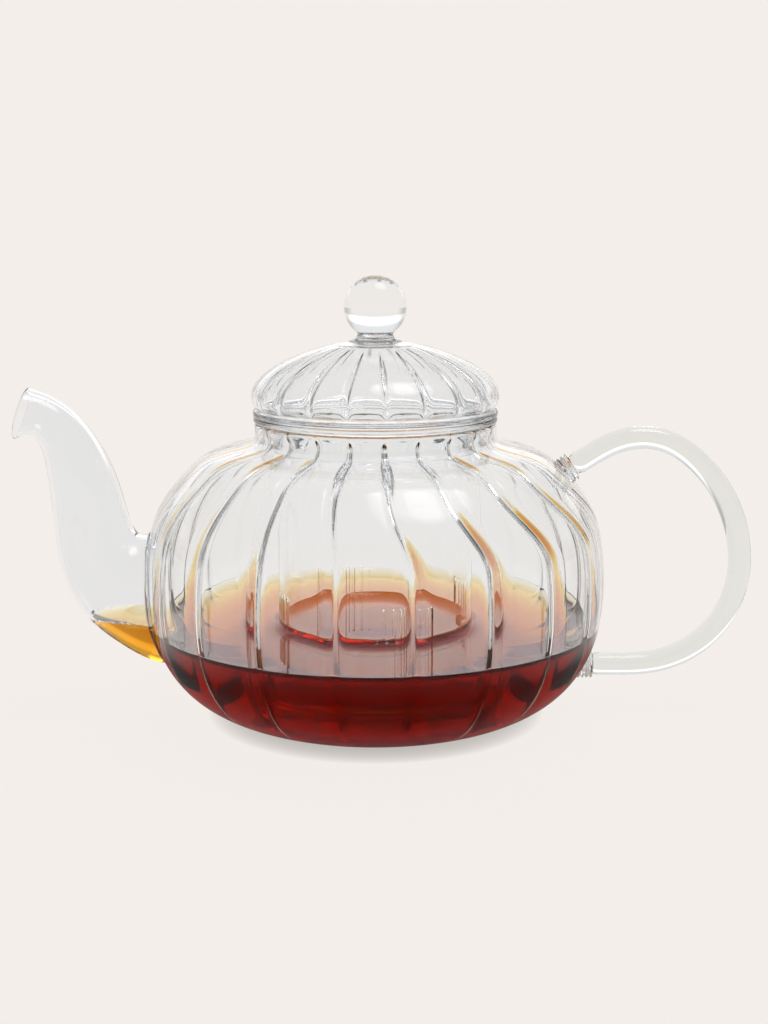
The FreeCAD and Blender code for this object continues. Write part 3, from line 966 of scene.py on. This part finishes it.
pot_glass = vessel_material("vessel_glass", POT_TINT)
pot_glass_in_tea = glass_material("vessel_glass_in_tea", GLASS_IOR / TEA_IOR, POT_TINT)
spout_glass = vessel_material("spout_glass", SPOUT_TINT)
glass = glass_material("clear_glass", GLASS_IOR, LID_TINT, GLOSS)
cup_glass = glass_material("thin_glass", GLASS_IOR, CUP_TINT, GLOSS)
cup_glass_in_tea = glass_material("thin_glass_in_tea", GLASS_IOR / TEA_IOR, CUP_TINT)
rod_glass = rod_material("rod_glass")
tea = tea_material("tea")

# ---- the pieces ----

body = make_body()
cut(body, channel_form(-SPOUT_WALL / 2, HOLE_END, "hole"))
piece(body, "pot", ["pot_body"], [pot_glass, pot_glass_in_tea])
piece(make_spout(), "pot", ["spout"], [spout_glass, pot_glass_in_tea])
piece(make_spout_weld(), "pot", ["spout_weld"], [glass])
piece(make_handle(), "pot", ["handle"], [rod_glass])
runs = rod_path()
for node, run, beads in (("handle_upper_weld", runs[0], UPPER_BEADS),
                         ("handle_lower_weld", runs[-1], LOWER_BEADS)):
    piece(make_rod_weld(node, run, beads), "pot", [node], [glass])
piece(make_infuser(), "infuser", ["infuser"], [cup_glass, cup_glass_in_tea])
for maker, node in ((make_lid_rim, "lid_rim"), (make_skirt, "lid_skirt"), (make_dome, "lid_dome"),
                    (make_knob_neck, "lid_knob_neck"), (make_knob, "lid_knob")):
    piece(maker(), "lid", [node], [glass])
piece(make_tea(), "pot", ["tea_pool", "tea_in_infuser"], [tea])


# ---- studio ----

BACKDROP = (0.90, 0.855, 0.815)
FLOOR_HALF, FLOOR_Z = 12.0, -0.0002       # in metres
FLOOR_GLOW = 0.982        # share of the floor's light that is its own, as on a lit table
FLOOR_GREY = 0.02
PAINTED_SHADOW_REACH = 0.005     # how near the object the painted contact shadow darkens the floor, in metres
PAINTED_SHADOW_GLOW = 0.55       # share of the glow left in the painted contact shadow where the object touches the floor
STUDIO_LIGHT = (0.875, 0.875, 0.88)
LAMP_DIRECTION = (0.25, -0.06, 0.966)     # a soft lamp overhead
LAMP_STRENGTH = 7.0
# How the light changes with its direction: from and to which value of a coordinate, and the
# light's strength or share at both
FRONT_TO_BACK = (-0.35, 0.45, 0.25, 1.65)
OUT_TO_SIDES = (0.5, 0.85, 1.0, 0.55)
UP_HIGH = (0.27, 0.42, 1.0, 0.6)
SWEEP_TO_ROOM = (0.13, 0.19, 0.0, 1.0)
SWEEP_TO_ROOM_TONE = (0.19, 0.3, 0.0, 1.0)
INTO_LAMP = (0.95, 0.985, 0.0, LAMP_STRENGTH)
CAMERA_LENS = 53.75
CAMERA_PLACE = (0.0027, -0.4776, 0.1549)
CAMERA_DOWN_DEG = 10.76
BOUNCES, GLOSSY_BOUNCES = 32, 12


def make_floor():
    me = bpy.data.meshes.new("floor")
    corners = ((-1, -1), (1, -1), (1, 1), (-1, 1))
    me.from_pydata([(x * FLOOR_HALF, y * FLOOR_HALF, FLOOR_Z) for x, y in corners], [],
                   [(0, 1, 2, 3)])
    ob = bpy.data.objects.new("floor", me)
    bpy.context.scene.collection.objects.link(ob)
    m, nodes, links, shader, _ = new_material("paper")
    set_inputs(shader, Base_Color=(FLOOR_GREY, FLOOR_GREY, FLOOR_GREY, 1), Roughness=1.0,
               Specular_IOR_Level=0.0, Emission_Color=(*BACKDROP, 1))
    # Painted contact shadow: the floor's glow is dimmed where ambient occlusion finds the object
    # close by.
    near = nodes.new("ShaderNodeAmbientOcclusion")
    near.inputs["Distance"].default_value = PAINTED_SHADOW_REACH
    near.samples = 8
    glow = nodes.new("ShaderNodeMapRange")
    set_inputs(glow, To_Min=FLOOR_GLOW * PAINTED_SHADOW_GLOW, To_Max=FLOOR_GLOW)
    links.new(near.outputs["AO"], glow.inputs["Value"])
    links.new(glow.outputs["Result"], shader.inputs["Emission Strength"])
    me.materials.append(m)


def make_world():
    """A pale sweep round the object, a large soft light behind and above it, and a dim room in
    front."""
    world = bpy.data.worlds.new("studio")
    bpy.context.scene.world = world
    world.use_nodes = True
    tree = world.node_tree
    place = tree.nodes.new("ShaderNodeTexCoord")
    split = tree.nodes.new("ShaderNodeSeparateXYZ")
    tree.links.new(place.outputs["Generated"], split.inputs["Vector"])
    x, y, z = (split.outputs[k] for k in "XYZ")
    behind = map_range(tree, y, *FRONT_TO_BACK)
    wide = math_node(tree, "ABSOLUTE", x, 0)
    sides = map_range(tree, wide, *OUT_TO_SIDES)
    upward = map_range(tree, z, *UP_HIGH)
    high = math_node(tree, "MULTIPLY", behind, upward)
    share = map_range(tree, z, *SWEEP_TO_ROOM)
    light = tree.nodes.new("ShaderNodeMix")
    light.inputs["A"].default_value = 1.0
    tree.links.new(share, light.inputs["Factor"])
    tree.links.new(high, light.inputs["B"])
    toward_lamp = tree.nodes.new("ShaderNodeVectorMath")
    toward_lamp.operation = "DOT_PRODUCT"
    toward_lamp.inputs[1].default_value = LAMP_DIRECTION
    tree.links.new(place.outputs["Generated"], toward_lamp.inputs[0])
    lamp = map_range(tree, toward_lamp.outputs["Value"], *INTO_LAMP)
    swept = math_node(tree, "MULTIPLY", light.outputs["Result"], sides)
    strength = math_node(tree, "ADD", swept, lamp)
    tone = tree.nodes.new("ShaderNodeMixRGB")
    set_inputs(tone, Color1=(*BACKDROP, 1), Color2=(*STUDIO_LIGHT, 1))
    tree.links.new(map_range(tree, z, *SWEEP_TO_ROOM_TONE), tone.inputs["Fac"])
    background = tree.nodes["Background"]
    tree.links.new(tone.outputs["Color"], background.inputs["Color"])
    tree.links.new(strength, background.inputs["Strength"])


def make_camera():
    data = bpy.data.cameras.new("camera")
    data.lens = CAMERA_LENS
    data.sensor_width = 36.0
    data.clip_start, data.clip_end = 0.01, 20.0
    camera = bpy.data.objects.new("camera", data)
    camera.location = CAMERA_PLACE
    camera.rotation_euler = (math.radians(90 - CAMERA_DOWN_DEG), 0, 0)
    bpy.context.scene.collection.objects.link(camera)
    bpy.context.scene.camera = camera


make_floor()
make_world()
make_camera()
scene = bpy.context.scene
scene.view_settings.view_transform = "Standard"
scene.view_settings.look = "None"
# Light crosses many walls of glass, so its path is let run longer than usual.
scene.cycles.max_bounces = BOUNCES
scene.cycles.transmission_bounces = BOUNCES
scene.cycles.glossy_bounces = GLOSSY_BOUNCES
